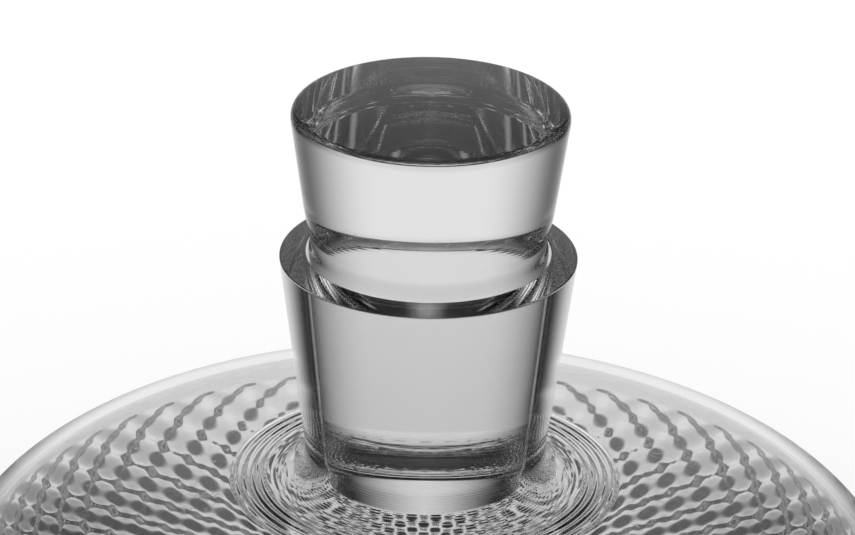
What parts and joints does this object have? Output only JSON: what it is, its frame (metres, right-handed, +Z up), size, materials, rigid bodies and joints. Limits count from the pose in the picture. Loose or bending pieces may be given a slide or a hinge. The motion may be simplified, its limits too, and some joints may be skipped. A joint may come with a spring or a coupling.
{
  "type": "glass decanter",
  "caption": "Low round glass decanter with a flared neck, a hobnail-patterned bowl and a solid tapered glass stopper that lifts out for pouring.",
  "frame": {"origin": "on the table, under the middle of the flat base", "axes": "+Z up along the axis of the neck and stopper; X and Y are alike on this round object"},
  "size_m": [0.1776, 0.1776, 0.1278],
  "materials": {
    "bottle_glass": "clear colourless glass, polished outside, moulded hobnails on the lower bowl, cut and polished rim",
    "stopper_glass": "clear colourless solid glass, polished head and taper, fine scratches on the top"
  },
  "bodies": {
    "decanter": {"decanter": "bottle_glass"},
    "stopper": {"stopper": "stopper_glass"}
  },
  "joints": [
    {"name": "stopper_lift", "type": "slide", "parent": "decanter", "child": "stopper", "axis": [0, 0, 1], "range_m": [0, 0.06]}
  ]
}
